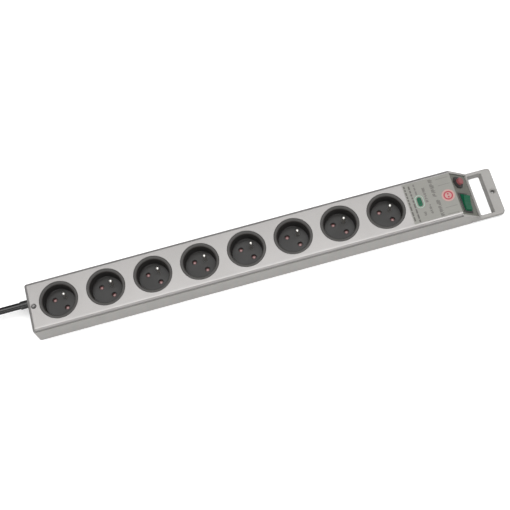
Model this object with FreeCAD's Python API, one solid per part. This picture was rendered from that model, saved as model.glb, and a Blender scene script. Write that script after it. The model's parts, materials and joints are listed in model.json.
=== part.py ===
import FreeCAD, Part
import math
import os
from FreeCAD import Vector

# Eight-way power strip with French-style earthed sockets, a lit rocker switch, a resettable
# circuit breaker, a surge-protection indicator and a carrying handle at the switch end.
# Millimetres. Origin: underside of the base, below the middle of the socket row.
# +X runs along the row towards the handle, +Y across the row, +Z up through the sockets.

# ---- driving dimensions -------------------------------------------------------------------
SOCKETS = 8
PITCH = 60.0                 # socket to socket
HEIGHT = 37.0                # 15 mm recess + 19 mm plug pins + two floors
COVER_HALF = 32.3
END_LEFT = -249.0            # cable end
COVER_END = 300.0            # where the sloped control panel starts
HANDLE_END = 357.5
HANDLE_TOP = 9.8
HANDLE_BOTTOM = 1.5
SEAM_Z = 33.5                # cover edge
CORNER_R = 3.0
COVER_EDGE_R = 3.8

# sockets (pin spacing and recess of the French/Belgian standard)
PIN_SPACING = 19.0
PIN_HOLE_R = 2.65
RECESS_R = 19.6
RECESS_DEPTH = 15.0
EARTH_OFFSET = 10.0
EARTH_PIN_R = 2.4
EARTH_PIN_RISE = 14.0
SOCKET_TURN = 45.0           # earth pin points to +X +Y
RIM_R = 24.4

# wall thicknesses and clearances
BASE_FLOOR = 2.2
INNER_HALF = 29.6            # inside face of the long walls
COVER_PLATE = 2.6
FIT = 0.1

# base housing
BASE_TOP_HALF = 32.7
BASE_BOTTOM_HALF = 31.9
BASE_EDGE_R = 1.2
GROOVE_HEIGHT = 2.4
GROOVE_DEPTH = 1.6
CAVITY_LEFT = -246.2
CAVITY_RIGHT = 318.0
CHEEK_TOP = (300.3, SEAM_Z)
CHEEK_FOOT = (325.5, HANDLE_TOP)
UNDERSIDE_STEP = 311.0
NOSE_START = 314.5
NOSE_HALF = 32.5
NOSE_CORNER_R = 4.2
OPENING = (327.0, 345.0)
OPENING_HALF = 28.3
OPENING_DRAFT = (2.4, 1.2)   # how far the outer and side walls lean in at the bottom

# wall-mount screw holes, one near each end
MOUNT_HOLE_R = 2.3
MOUNT_LEFT = -241.5
MOUNT_RIGHT = 351.5
MOUNT_TUBE_R = 4.8
DIMPLE_R = 3.6
DIMPLE_DEPTH = 1.5

# sloped control panel, in its own axes: s down the slope, y across, n out of the face
PANEL_RECESS = 1.5
PANEL_THICK = 2.5
PANEL_LENGTH = 33.0
PANEL_HALF = 29.4
SWITCH_S = 15.0
SWITCH_Y = -11.5
SWITCH_WIDTH = 14.8
SWITCH_LENGTH = 26.2
SWITCH_DEPTH = 15.0
ROCKER_WIDTH = 11.8
ROCKER_R = 11.6
ROCKER_PIVOT_N = -2.0
ROCKER_TILT = 10.0
SEESAW_TILT = 8.0
BREAKER_S = 14.0
BREAKER_Y = 17.5
BREAKER_HALF = 7.6
BREAKER_DEPTH = 17.0
BUTTON_R = 4.7
BUTTON_RISE = 6.6

# label and indicator window on the cover
LABEL = (238.5, COVER_END)
LABEL_HALF = 27.6
LABEL_THICK = 0.2
LENS_X = 253.5
LENS_LENGTH = 12.6
LENS_WIDTH = 5.6

# cable
CABLE_Y = 12.5
CABLE_Z = 19.5
CABLE_R = 4.3
CABLE_BORE_R = 3.25
CABLE_END = -300.0
CABLE_INNER_END = -235.0
CORE_R = 1.45
CORE_OFFSET = 1.72
GROMMET_R = 5.2
GROMMET_END = -260.5
CLAMP_X = -240.2
CLAMP_HALF = 7.4
CLAMP_SCREW_Y = 6.05

# conductors under the sockets
BAR_THICK = 0.8
BAR_Z = 4.0
BAR_HALF = 3.0
BAR_LEFT = -219.0
BAR_RIGHT = 219.0
EARTH_BAR_Z = 6.5
EARTH_BAR_Y = (12.0, 19.0)
CONTACT_TOP = 15.0
CARRIER = (8.2, 16.6)
CARRIER_R = 19.0
BAR_PAD_R = 4.6
SHUTTER = (17.3, 19.2)
LIVE_LANE_Y = 14.0
LANE_Z = 4.2

# surge-protection board
BOARD_X = (240.0, 276.0)
BOARD_HALF = 17.0
BOARD_Z = 20.0
BOARD_THICK = 1.6
BOARD_POST_X = (243.5, 271.5)
BOARD_POST_Y = 8.0

HOUSING_SCREW_X = (-180.0, -60.0, 60.0, 180.0, 268.0)
HOUSING_SCREW_Y = 24.0

# ---- worked-out values --------------------------------------------------------------------
SOCKET_X = [(i - (SOCKETS - 1) / 2) * PITCH for i in range(SOCKETS)]
RECESS_FLOOR = HEIGHT - RECESS_DEPTH
PIN_DIR = Vector(math.cos(math.radians(SOCKET_TURN - 90)), math.sin(math.radians(SOCKET_TURN - 90)), 0)
EARTH_DIR = Vector(math.cos(math.radians(SOCKET_TURN)), math.sin(math.radians(SOCKET_TURN)), 0)
LIVE_POINT = PIN_DIR * (PIN_SPACING / 2)
NEUTRAL_POINT = PIN_DIR * (-PIN_SPACING / 2)
EARTH_POINT = EARTH_DIR * EARTH_OFFSET
SLOPE = math.atan2(CHEEK_TOP[1] - CHEEK_FOOT[1], CHEEK_FOOT[0] - CHEEK_TOP[0])
PANEL_ORIGIN = Vector(CHEEK_TOP[0] - PANEL_RECESS * math.sin(SLOPE), 0,
                      CHEEK_TOP[1] - PANEL_RECESS * math.cos(SLOPE))
PAD_END = SOCKET_X[-1] + LIVE_POINT.x + BAR_PAD_R + 0.05      # outermost edge of the bars' end pads
PANEL_PLACE = FreeCAD.Placement(PANEL_ORIGIN, FreeCAD.Rotation(Vector(0, 1, 0), math.degrees(SLOPE)))
UP = Vector(0, 0, 1)


# ---- small shape helpers ------------------------------------------------------------------
def box(xs, ys, zs):
    """Block from three (low, high) pairs."""
    return Part.makeBox(xs[1] - xs[0], ys[1] - ys[0], zs[1] - zs[0], Vector(xs[0], ys[0], zs[0]))


def both(value, middle=0.0):
    return (middle - value, middle + value)


def rod(radius, zs, x=0.0, y=0.0):
    """Upright cylinder."""
    return Part.makeCylinder(radius, zs[1] - zs[0], Vector(x, y, zs[0]), UP)


def rod_x(radius, xs, y, z):
    """Cylinder along X."""
    return Part.makeCylinder(radius, xs[1] - xs[0], Vector(xs[0], y, z), Vector(1, 0, 0))


def fuse(shapes):
    first = shapes[0]
    joined = first.fuse(shapes[1:]) if len(shapes) > 1 else first
    return joined.removeSplitter()


def cut(shape, *tools):
    for tool in tools:
        shape = shape.cut(tool)
    return shape


def revolve(points, x=0.0, y=0.0):
    """Solid of revolution about an upright axis, from (radius, z) corners."""
    corners = [Vector(r, 0, z) for r, z in points]
    face = Part.Face(Part.makePolygon(corners + corners[:1]))
    solid = face.revolve(Vector(0, 0, 0), UP, 360)
    solid.translate(Vector(x, y, 0))
    return solid


def prism_y(points, ys):
    """Extrude an (x, z) outline across the strip."""
    corners = [Vector(x, ys[0], z) for x, z in points]
    face = Part.Face(Part.makePolygon(corners + corners[:1]))
    return face.extrude(Vector(0, ys[1] - ys[0], 0))


def rounded_outline(xs, ys, z, left_r, right_r):
    """Rectangle with its own corner radius at each end; a radius of 0 is a sharp corner."""
    corners = [(xs[0], ys[0], left_r, 180), (xs[1], ys[0], right_r, 270),
               (xs[1], ys[1], right_r, 0), (xs[0], ys[1], left_r, 90)]
    ends = []
    arcs = []
    for x, y, r, start in corners:
        if r == 0:
            ends.append((Vector(x, y, z), Vector(x, y, z)))
            arcs.append(None)
            continue
        cx = x + r if x == xs[0] else x - r
        cy = y + r if y == ys[0] else y - r
        pts = []
        for turn in (0, 45, 90):
            a = math.radians(start + turn)
            pts.append(Vector(cx + r * math.cos(a), cy + r * math.sin(a), z))
        ends.append((pts[0], pts[2]))
        arcs.append(Part.Arc(*pts).toShape())
    edges = []
    for i in range(4):
        if arcs[i]:
            edges.append(arcs[i])
        edges.append(Part.makeLine(ends[i][1], ends[(i + 1) % 4][0]))
    return Part.Wire(edges)


def rounded_block(xs, ys, zs, left_r, right_r):
    face = Part.Face(rounded_outline(xs, ys, zs[0], left_r, right_r))
    return face.extrude(Vector(0, 0, zs[1] - zs[0]))


def level_edges(shape, z, keep):
    """Edges that lie at height z and whose middle passes the test."""
    found = []
    for edge in shape.Edges:
        ends = [v.Z for v in edge.Vertexes]
        if all(abs(value - z) < 0.001 for value in ends) and keep(edge.CenterOfMass):
            found.append(edge)
    return found


def stadium(length, width, zs, x, y):
    """Long-rounded slot shape lying across the strip."""
    r = width / 2
    half = length / 2 - r
    middle = box(both(r, x), both(half, y), zs)
    return fuse([middle, rod(r, zs, x, y - half), rod(r, zs, x, y + half)])


def wire_run(points, radius):
    """Round wire that follows straight stretches with rounded joints."""
    pieces = []
    for start, end in zip(points, points[1:]):
        way = end.sub(start)
        pieces.append(Part.makeCylinder(radius, way.Length, start, way))
    for point in points[1:-1]:
        pieces.append(Part.makeSphere(radius, point))
    return fuse(pieces)


def coil(radius, wire, turns, pitch, place):
    """Spring about a local Z axis: half turns of round wire, each tilted to climb half a pitch."""
    halves = []
    for k in range(2 * turns):
        side = -1 if k % 2 else 1
        start = Vector(side * radius, 0, k * pitch / 2)
        end = Vector(-side * radius, 0, (k + 1) * pitch / 2)
        section = Part.Face(Part.Wire([Part.makeCircle(wire, start, Vector(0, 1, 0))]))
        halves.append(section.revolve((start + end) / 2, Vector(0, 1, 0).cross(end - start), 180))
    spring = fuse(halves)
    spring.Placement = place
    return spring


def on_panel(shape):
    """Move a shape from the sloped panel's axes to the strip's axes."""
    moved = shape.copy()
    moved.Placement = PANEL_PLACE.multiply(shape.Placement)
    return moved


def hex_prism(across, zs, x, y):
    r = across / math.sqrt(3)
    corners = [Vector(x + r * math.cos(math.radians(60 * k)), y + r * math.sin(math.radians(60 * k)), zs[0])
               for k in range(6)]
    face = Part.Face(Part.makePolygon(corners + corners[:1]))
    return face.extrude(Vector(0, 0, zs[1] - zs[0]))


# ---- housing ------------------------------------------------------------------------------
def base_housing():
    end_taper = BASE_TOP_HALF - BASE_BOTTOM_HALF
    left_top = END_LEFT + COVER_HALF - BASE_TOP_HALF
    sections = [
        rounded_outline((left_top + end_taper, CHEEK_FOOT[0] + 2), both(BASE_BOTTOM_HALF), 0, CORNER_R, 0),
        rounded_outline((left_top, CHEEK_FOOT[0] + 2), both(BASE_TOP_HALF), SEAM_Z, CORNER_R, 0),
    ]
    tray = Part.makeLoft(sections, True, True)
    lower = level_edges(tray, 0, lambda c: c.x < CHEEK_FOOT[0])
    tray = tray.makeFillet(BASE_EDGE_R, lower)

    # inside space, higher where the underside steps up towards the handle
    cavity = rounded_block((CAVITY_LEFT, UNDERSIDE_STEP - 5), both(INNER_HALF), (BASE_FLOOR, HEIGHT), 3.0, 0)
    end_cavity = box((UNDERSIDE_STEP - 6, CAVITY_RIGHT), both(INNER_HALF), (BASE_FLOOR + 1.8, HEIGHT))

    # narrower rim under the cover's edge leaves the shadow groove
    groove_z = (SEAM_Z - GROOVE_HEIGHT, SEAM_Z + 1)
    rim_half = BASE_TOP_HALF - GROOVE_DEPTH
    groove = cut(box((END_LEFT - 5, COVER_END), both(COVER_HALF + 5), groove_z),
                 rounded_block((left_top + GROOVE_DEPTH, COVER_END + 1), both(rim_half), groove_z,
                               CORNER_R - GROOVE_DEPTH, 0))

    # cheeks slope down to the handle; the underside steps up behind them
    run = CHEEK_FOOT[0] - CHEEK_TOP[0]
    fall = CHEEK_TOP[1] - CHEEK_FOOT[1]
    beyond = 10.0
    slope_cut = prism_y([(CHEEK_TOP[0] - beyond, CHEEK_TOP[1] + fall / run * beyond),
                         (CHEEK_FOOT[0] + beyond, CHEEK_FOOT[1] - fall / run * beyond),
                         (CHEEK_FOOT[0] + beyond, HEIGHT + 20)], both(COVER_HALF + 5))
    step_cut = prism_y([(UNDERSIDE_STEP, -1), (UNDERSIDE_STEP, 0), (NOSE_START, HANDLE_BOTTOM),
                        (NOSE_START, HANDLE_TOP), (HANDLE_END, HANDLE_TOP), (HANDLE_END, -1)],
                       both(COVER_HALF + 5))
    tray = cut(tray, slope_cut, step_cut)

    # low handle loop
    nose = rounded_block((NOSE_START, HANDLE_END), both(NOSE_HALF), (HANDLE_BOTTOM, HANDLE_TOP),
                         0, NOSE_CORNER_R)
    nose = nose.makeFillet(3.4, level_edges(nose, HANDLE_BOTTOM, lambda c: c.x > NOSE_START + 1))
    nose = nose.makeFillet(1.4, level_edges(nose, HANDLE_TOP, lambda c: c.x > NOSE_START + 1))
    shell = tray.fuse(nose)
    shell = cut(shell, cavity, end_cavity, groove)

    # hand opening: its outer and side walls lean in towards the bottom
    outlines = []
    for z in (HANDLE_BOTTOM - 1, HANDLE_TOP + 1):
        lean = (HANDLE_TOP - z) / (HANDLE_TOP - HANDLE_BOTTOM)
        outlines.append(rounded_outline((OPENING[0], OPENING[1] - lean * OPENING_DRAFT[0]),
                                        both(OPENING_HALF - lean * OPENING_DRAFT[1]), z, 1.6, 1.6))
    shell = shell.cut(Part.makeLoft(outlines, True, True))
    rim = level_edges(shell, HANDLE_TOP, lambda c: OPENING[0] - 0.1 < c.x < OPENING[1] + 0.1
                      and abs(c.y) < OPENING_HALF + 0.1)
    shell = shell.makeFillet(1.1, rim)

    # seat of the control panel, with a ledge on each cheek to carry it
    pocket = on_panel(box((-3, PANEL_LENGTH + FIT), both(INNER_HALF), (-PANEL_THICK - FIT, 30)))
    shell = shell.cut(pocket)
    additions = []
    for side in (-1, 1):
        ys = sorted((side * (INNER_HALF - 2), side * (INNER_HALF + 1)))
        additions.append(on_panel(box((3, PANEL_LENGTH - 8), ys, (-PANEL_THICK - 2.1, -PANEL_THICK - FIT))))

    # bosses, posts and the cable saddle
    bores = []
    for x in HOUSING_SCREW_X:
        for y in (-HOUSING_SCREW_Y, HOUSING_SCREW_Y):
            additions.append(rod(3.6, (1.0, 9.9), x, y))
            bores.append(rod(3.0, (-1, 2.9), x, y))
            bores.append(rod(1.7, (-1, 12), x, y))
    additions.append(rod(MOUNT_TUBE_R, (1.0, SEAM_Z + 0.8), MOUNT_LEFT))
    bores.append(rod(MOUNT_HOLE_R, (-1, HEIGHT), MOUNT_LEFT))
    bores.append(rod(MOUNT_HOLE_R, (-1, HEIGHT), MOUNT_RIGHT))
    bores.append(revolve([(0, HANDLE_TOP - 2.2), (MOUNT_HOLE_R, HANDLE_TOP - 2.2),
                          (4.3, HANDLE_TOP + 0.01), (0, HANDLE_TOP + 0.01)], MOUNT_RIGHT))
    for x in BOARD_POST_X:
        for y in both(BOARD_POST_Y):
            additions.append(rod(2.5, (1.0, BOARD_Z), x, y))
            bores.append(rod(1.15, (BOARD_Z - 6, BOARD_Z + 1), x, y))
    for left, right in zip(SOCKET_X, SOCKET_X[1:]):
        middle = (left + right) / 2
        for y in (LIVE_POINT.y, NEUTRAL_POINT.y):
            additions.append(box(both(2, middle), both(BAR_HALF, y), (1.0, BAR_Z)))
        additions.append(box(both(2, middle), (EARTH_BAR_Y[0] + 4.2, EARTH_BAR_Y[1]), (1.0, EARTH_BAR_Z)))
    additions.append(box(both(3.7, CLAMP_X), both(CLAMP_HALF, CABLE_Y), (1.0, CABLE_Z)))
    bores.append(rod_x(CABLE_R + 0.02, (-250, -230), CABLE_Y, CABLE_Z))
    for y in both(CLAMP_SCREW_Y, CABLE_Y):
        bores.append(rod(1.25, (CABLE_Z - 12, CABLE_Z + 1), CLAMP_X, y))
    bores.append(rod_x(GROMMET_R + 0.05, (-252, -243.9), CABLE_Y, CABLE_Z))
    bores.append(rod_x(GROMMET_R + 2.1, (CAVITY_LEFT, -243.8), CABLE_Y, CABLE_Z))
    shell = shell.fuse(additions)
    shell = cut(shell, *bores)
    shell = shell.cut(pocket)
    return shell.removeSplitter()


def top_cover():
    body = rounded_block((END_LEFT, COVER_END), both(COVER_HALF), (SEAM_Z - 4, HEIGHT), CORNER_R, 0)
    body = body.makeFillet(COVER_EDGE_R, level_edges(body, HEIGHT, lambda c: c.x < COVER_END - 1))
    body = body.cut(box((END_LEFT - 5, COVER_END + 5), both(COVER_HALF + 5), (SEAM_Z - 10, SEAM_Z)))

    # hollow underside and the lip that drops inside the base walls
    lip_half = INNER_HALF - 0.2
    lip_left = CAVITY_LEFT + 0.2
    lip_z = (SEAM_Z - 4, SEAM_Z + 0.5)
    lip = rounded_block((lip_left, COVER_END - 6), both(lip_half), lip_z, 3.0, 0)
    hollow = rounded_block((lip_left + 1.4, COVER_END - 3), both(lip_half - 1.4),
                           (SEAM_Z - 5, HEIGHT - COVER_PLATE), 2.0, 0)
    body = cut(body.fuse(lip), hollow)

    tools = [rod(RIM_R + FIT, (0, HEIGHT + 1), x) for x in SOCKET_X]
    tools.append(box(both((LABEL[1] - LABEL[0]) / 2 + FIT, sum(LABEL) / 2), both(LABEL_HALF + FIT),
                     (HEIGHT - LABEL_THICK, HEIGHT + 1)))
    tools.append(stadium(LENS_LENGTH + 0.2, LENS_WIDTH + 0.2, (0, HEIGHT + 1), LENS_X, 0))
    # shallow dimple over the screw tube at the cable end
    tools.append(revolve([(0, HEIGHT - DIMPLE_DEPTH), (DIMPLE_R * 0.6, HEIGHT - DIMPLE_DEPTH * 0.8),
                          (DIMPLE_R, HEIGHT + 0.01), (0, HEIGHT + 0.01)], MOUNT_LEFT))
    tools.append(rod(MOUNT_TUBE_R + 0.15, (0, HEIGHT - COVER_PLATE + 0.1), MOUNT_LEFT))
    tools.append(rod_x(GROMMET_R + 2.2, (-252, -243.5), CABLE_Y, CABLE_Z))

    posts = []
    for x in HOUSING_SCREW_X:
        for y in (-HOUSING_SCREW_Y, HOUSING_SCREW_Y):
            posts.append(cut(rod(3.4, (10.0, HEIGHT - COVER_PLATE + 0.5), x, y),
                             rod(1.5, (5, HEIGHT - COVER_PLATE - 6), x, y)))
    body = body.fuse(posts)
    return cut(body, *tools).removeSplitter()


def control_panel():
    plate = box((0.6, PANEL_LENGTH), both(PANEL_HALF), (-PANEL_THICK, 0))
    tools = [
        box(both(SWITCH_WIDTH / 2 + FIT, SWITCH_S), both(SWITCH_LENGTH / 2 + FIT, SWITCH_Y), (-10, 10)),
        rod(6.0, (-10, 10), BREAKER_S, BREAKER_Y),
    ]
    # the upper edge is trimmed level under the cover's end
    under_cover = box((COVER_END - 8, COVER_END + 8), both(COVER_HALF), (SEAM_Z - 0.1, HEIGHT + 9))
    return on_panel(cut(plate, *tools)).cut(under_cover)


def rating_label():
    plate = box(LABEL, both(LABEL_HALF), (HEIGHT - LABEL_THICK, HEIGHT))
    return plate.cut(stadium(LENS_LENGTH + 0.4, LENS_WIDTH + 0.4, (30, 40), LENS_X, 0))


def indicator_lens():
    dome = stadium(LENS_LENGTH, LENS_WIDTH, (HEIGHT - COVER_PLATE, HEIGHT), LENS_X, 0)
    under = HEIGHT - COVER_PLATE
    flange = stadium(LENS_LENGTH + 3, LENS_WIDTH + 3, (under - 1, under), LENS_X, 0)
    return fuse([dome, flange])


# ---- sockets ------------------------------------------------------------------------------
def carrier_fixings():
    """The two screw points that hold a contact carrier under its socket."""
    radius = 16.3
    return [(radius * math.cos(math.radians(turn)), radius * math.sin(math.radians(turn)))
            for turn in (20, 200)]


def socket_insert(x):
    floor_low = RECESS_FLOOR - 2.5
    under_plate = HEIGHT - COVER_PLATE
    outer = [(0, floor_low), (21.8, floor_low), (21.8, under_plate - 2.2), (26.5, under_plate - 2.2),
             (26.5, under_plate - 0.05), (RIM_R, under_plate - 0.05), (RIM_R, HEIGHT - 0.5),
             (RIM_R - 0.5, HEIGHT), (21.6, HEIGHT), (20.6, HEIGHT - 0.6), (RECESS_R + 0.2, HEIGHT - 3.2),
             (RECESS_R, RECESS_FLOOR + 0.8), (RECESS_R - 0.8, RECESS_FLOOR), (0, RECESS_FLOOR)]
    cup = revolve(outer)
    hub = rod(2.5, (SHUTTER[0] - 0.3, floor_low + 0.5))
    bosses = []
    bores = [rod(EARTH_PIN_R + 0.05, (0, HEIGHT), EARTH_POINT.x, EARTH_POINT.y)]
    for bx, by in carrier_fixings():
        bosses.append(rod(2.3, (CARRIER[1], floor_low + 0.5), bx, by))
        bores.append(rod(1.25, (CARRIER[1] - 1, floor_low + 1.2), bx, by))
    for point in (LIVE_POINT, NEUTRAL_POINT):
        bores.append(rod(PIN_HOLE_R, (0, HEIGHT), point.x, point.y))
        bores.append(revolve([(0, RECESS_FLOOR - 0.7), (PIN_HOLE_R, RECESS_FLOOR - 0.7),
                              (PIN_HOLE_R + 0.7, RECESS_FLOOR + 0.01), (0, RECESS_FLOOR + 0.01)],
                             point.x, point.y))
    insert = cut(fuse([cup, hub] + bosses), *bores)
    insert.translate(Vector(x, 0, 0))
    return insert


def shutter(x):
    hub = rod(4.0, SHUTTER)
    pieces = [hub]
    for point in (LIVE_POINT, NEUTRAL_POINT):
        pieces.append(rod(3.6, SHUTTER, point.x, point.y))
        arm = Part.makeBox(PIN_SPACING / 2, 3.6, SHUTTER[1] - SHUTTER[0], Vector(0, -1.8, SHUTTER[0]))
        arm.rotate(Vector(0, 0, 0), UP, math.degrees(math.atan2(point.y, point.x)))
        pieces.append(arm)
    rotor = cut(fuse(pieces), rod(2.55, (0, HEIGHT)))
    rotor.translate(Vector(x, 0, 0))
    return rotor


def shutter_spring(x):
    place = FreeCAD.Placement(Vector(x, 0, CARRIER[1] - 2.4), FreeCAD.Rotation())
    return coil(1.9, 0.2, 3, 0.7, place)


def contact_carrier(x):
    block = rod(CARRIER_R, CARRIER)
    bores = [rod(4.0, (0, HEIGHT), point.x, point.y) for point in (LIVE_POINT, NEUTRAL_POINT)]
    bores.append(rod(EARTH_PIN_R + 0.1, (0, HEIGHT), EARTH_POINT.x, EARTH_POINT.y))
    bores.append(rod(2.5, (CARRIER[1] - 2.7, HEIGHT)))
    bores += [rod(1.35, (0, HEIGHT), bx, by) for bx, by in carrier_fixings()]
    block = cut(block, *bores)
    block.translate(Vector(x, 0, 0))
    return block


def carrier_screws(x):
    screws = []
    for bx, sy in carrier_fixings():
        sx = x + bx
        head = rod(2.2, (CARRIER[0] - 1.3, CARRIER[0]), sx, sy)
        screw = fuse([head, rod(1.2, (CARRIER[0] - 0.5, 20), sx, sy)])
        slot = box(both(0.3, sx), both(3, sy), (0, CARRIER[0] - 0.8))
        screws.append(screw.cut(slot))
    return screws


def earth_pin(x):
    top = RECESS_FLOOR + EARTH_PIN_RISE
    r = EARTH_PIN_R
    foot_top = EARTH_BAR_Z + BAR_THICK
    pin = fuse([rod(r, (foot_top, top - r), x + EARTH_POINT.x, EARTH_POINT.y),
                Part.makeSphere(r, Vector(x + EARTH_POINT.x, EARTH_POINT.y, top - r)),
                rod(1.5, (EARTH_BAR_Z, foot_top + 0.5), x + EARTH_POINT.x, EARTH_POINT.y)])
    return pin


def pin_busbar(point):
    bar = box((BAR_LEFT, BAR_RIGHT), both(BAR_HALF, point.y), (BAR_Z, BAR_Z + BAR_THICK))
    pads = [rod(BAR_PAD_R, (BAR_Z, BAR_Z + BAR_THICK), x + point.x, point.y) for x in SOCKET_X]
    holes = [rod(2.7, (0, 10), x + point.x, point.y) for x in SOCKET_X]
    return cut(fuse([bar] + pads), *holes)


def earth_busbar():
    zs = (EARTH_BAR_Z, EARTH_BAR_Z + BAR_THICK)
    bar = box((BAR_LEFT, BAR_RIGHT), EARTH_BAR_Y, zs)
    tabs = []
    holes = []
    for x in SOCKET_X:
        px = x + EARTH_POINT.x
        tabs.append(box(both(3.6, px), (EARTH_POINT.y - 3.4, EARTH_BAR_Y[0] + 1), zs))
        holes.append(rod(1.55, (0, 10), px, EARTH_POINT.y))
    return cut(fuse([bar] + tabs), *holes)


def pin_contact(x, point):
    """Split spring sleeve that grips a plug pin."""
    cx = x + point.x
    zs = (BAR_Z + BAR_THICK, CONTACT_TOP)
    sleeve = cut(rod(3.6, zs, cx, point.y), rod(2.75, (0, HEIGHT), cx, point.y))
    slit = box(both(0.5, cx), both(5, point.y), (BAR_Z + 3.5, HEIGHT))
    flare = revolve([(2.75, CONTACT_TOP - 1.2), (3.3, CONTACT_TOP + 0.01), (0, CONTACT_TOP + 0.01),
                     (0, CONTACT_TOP - 1.2)], cx, point.y)
    return cut(sleeve, slit, flare)


# ---- rocker switch ------------------------------------------------------------------------
def rocker_switch_body():
    s = SWITCH_S
    y = SWITCH_Y
    case = box(both(SWITCH_WIDTH / 2, s), both(SWITCH_LENGTH / 2, y), (-SWITCH_DEPTH, 0.2))
    bezel = box(both(SWITCH_WIDTH / 2 + 0.9, s), both(SWITCH_LENGTH / 2 + 0.9, y), (0, 1.2))
    bezel = bezel.makeChamfer(0.5, level_edges(bezel, 1.2, lambda c: True))
    well = box(both(ROCKER_WIDTH / 2 + 0.2, s), both(ROCKER_R + 0.3, y), (-SWITCH_DEPTH + 2.2, 5))
    pivots = rod_x(1.25, (s - ROCKER_WIDTH / 2 - 1.1, s + ROCKER_WIDTH / 2 + 1.1), y, ROCKER_PIVOT_N)
    slots = [box(both(3.1, s), both(0.45, y + dy), (-30, 0)) for dy in (-8.0, 0.0, 8.0)]
    return on_panel(cut(fuse([case, bezel]), well, pivots, *slots))


def rocker_neutral():
    """Rocker before it tips: two facets meeting in a shallow valley, ends curved about the pivot."""
    s = SWITCH_S
    y = SWITCH_Y
    span = both(ROCKER_WIDTH / 2, s)
    drum = rod_x(ROCKER_R, span, y, ROCKER_PIVOT_N)
    edge_n = 5.6
    valley_n = 4.0
    reach = ROCKER_R + 1
    outline = [Vector(span[0], y - reach, -6.0), Vector(span[0], y + reach, -6.0),
               Vector(span[0], y + reach, edge_n), Vector(span[0], y, valley_n),
               Vector(span[0], y - reach, edge_n)]
    limits = Part.Face(Part.makePolygon(outline + outline[:1])).extrude(Vector(span[1] - span[0], 0, 0))
    block = drum.common(limits)
    hollow = box(both(ROCKER_WIDTH / 2 - 1.4, s), both(ROCKER_R - 3.2, y), (-8, 0.8))
    pins = rod_x(1.2, (s - ROCKER_WIDTH / 2 - 0.9, s + ROCKER_WIDTH / 2 + 0.9), y, ROCKER_PIVOT_N)
    return fuse([cut(block, hollow), pins])


def tipped(shape, angle, pivot_n):
    """Turn a switch piece about an axis that runs down the slope."""
    turned = shape.copy()
    turned.rotate(Vector(SWITCH_S, SWITCH_Y, pivot_n), Vector(1, 0, 0), angle)
    return turned


def rocker():
    return on_panel(tipped(rocker_neutral(), ROCKER_TILT, ROCKER_PIVOT_N))


def rocker_plunger():
    stem = rod(1.3, (-8.6, -4.6), SWITCH_S, SWITCH_Y)
    tip = Part.makeSphere(1.3, Vector(SWITCH_S, SWITCH_Y, -8.6))
    eye = box(both(ROCKER_WIDTH / 2 - 1.45, SWITCH_S), both(2.4, SWITCH_Y), (-4.6, 0.4))
    eye = eye.cut(rod_x(1.22, both(ROCKER_WIDTH, SWITCH_S), SWITCH_Y, ROCKER_PIVOT_N))
    return on_panel(tipped(fuse([stem, tip, eye]), ROCKER_TILT, ROCKER_PIVOT_N))


def switch_seesaw():
    blade = box(both(2.4, SWITCH_S), both(8.4, SWITCH_Y), (-11.0, -10.4))
    tips = [rod(1.2, (-11.5, -10.9), SWITCH_S, SWITCH_Y + dy) for dy in (-7.2, 7.2)]
    return on_panel(tipped(fuse([blade] + tips), -SEESAW_TILT, -11.6))


def switch_terminals():
    """Centre blade that carries the see-saw, and a fixed contact blade on either side."""
    blades = []
    for dy, top in ((-8.0, -12.9), (0.0, -11.7), (8.0, -12.9)):
        blades.append(on_panel(box(both(3.0, SWITCH_S), both(0.4, SWITCH_Y + dy), (-21.0, top))))
    return blades


def switch_lamp():
    """Small neon tube held across the rocker's hollow end."""
    return on_panel(rod_x(1.0, both(3.6, SWITCH_S), SWITCH_Y + 10.4, -9.5))


# ---- circuit breaker ----------------------------------------------------------------------
def breaker_body():
    s = BREAKER_S
    y = BREAKER_Y
    case = box(both(BREAKER_HALF, s), both(BREAKER_HALF, y), (-BREAKER_DEPTH, -PANEL_THICK))
    neck = rod(5.9, (-PANEL_THICK - 0.5, 2.6), s, y)
    bore = rod(BUTTON_R + 0.05, (-12.5, 10), s, y)
    chamber = rod(5.6, (-12.5, -3.2), s, y)
    well = rod(2.3, (-BREAKER_DEPTH + 1.4, -12), s, y)
    slots = [box(both(2.6, s), both(0.45, y + dy), (-30, -BREAKER_DEPTH + 1.2)) for dy in (-4.5, 4.5)]
    return on_panel(cut(fuse([case, neck]), bore, chamber, well, *slots))


def reset_button():
    s = BREAKER_S
    y = BREAKER_Y
    crown = rod(BUTTON_R, (-8.5, BUTTON_RISE), s, y)
    crown = crown.makeFillet(1.0, level_edges(crown, BUTTON_RISE, lambda c: True))
    shoulder = rod(5.3, (-9.4, -7.0), s, y)
    stem = rod(1.5, (-13.0, -9.0), s, y)
    return on_panel(fuse([crown, shoulder, stem]))


def breaker_nut():
    nut = hex_prism(15.0, (0.02, 2.2), BREAKER_S, BREAKER_Y)
    rounding = rod(8.3, (-1, 5), BREAKER_S, BREAKER_Y)
    return on_panel(nut.common(rounding).cut(rod(5.95, (-5, 5), BREAKER_S, BREAKER_Y)))


def reset_spring():
    place = FreeCAD.Placement(Vector(BREAKER_S, BREAKER_Y, -12.15), FreeCAD.Rotation())
    return on_panel(coil(2.6, 0.3, 2, 1.2, place))


def breaker_terminals():
    blades = []
    for dy in (-4.5, 4.5):
        span = (-23.0, -BREAKER_DEPTH + 1.15)
        blades.append(on_panel(box(both(2.5, BREAKER_S), both(0.4, BREAKER_Y + dy), span)))
    return blades


# ---- surge-protection board ---------------------------------------------------------------
def surge_board():
    board = box(BOARD_X, both(BOARD_HALF), (BOARD_Z, BOARD_Z + BOARD_THICK))
    holes = [rod(1.3, (0, HEIGHT), x, y) for x in BOARD_POST_X for y in both(BOARD_POST_Y)]
    return cut(board, *holes)


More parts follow.
